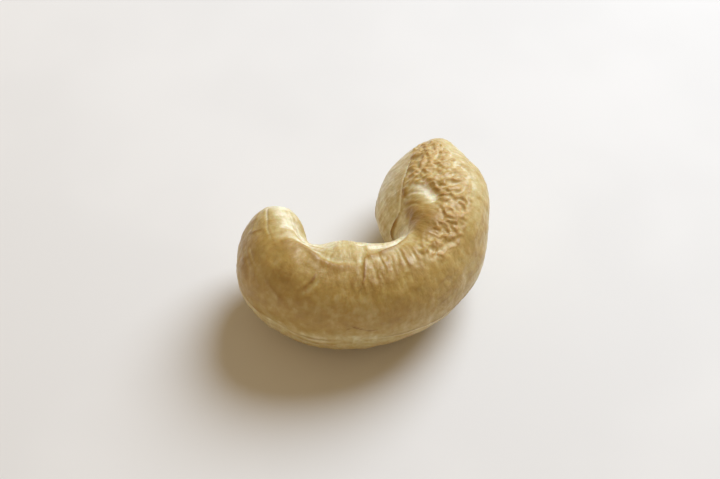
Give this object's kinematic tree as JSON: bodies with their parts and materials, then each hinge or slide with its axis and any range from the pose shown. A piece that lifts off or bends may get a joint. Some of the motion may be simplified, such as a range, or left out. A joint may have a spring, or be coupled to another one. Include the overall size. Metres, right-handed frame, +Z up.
{
  "type": "cashew nut",
  "caption": "Peeled cashew kernel lying on its side: bent like a kidney, with a parting line, fanned folds inside the bend and a crumpled, tapering arm.",
  "frame": {"origin": "middle of the kernel's box, at the surface that it rests on", "axes": "+Z up from the surface, +X along the longest extent towards the tapering arm, +Y towards the open side of the bend"},
  "size_m": [0.0266, 0.0186, 0.0122],
  "materials": {
    "kernel_skin": "matte, slightly waxy"
  },
  "bodies": {
    "root": {"cashew_kernel": "kernel_skin"}
  },
  "joints": []
}
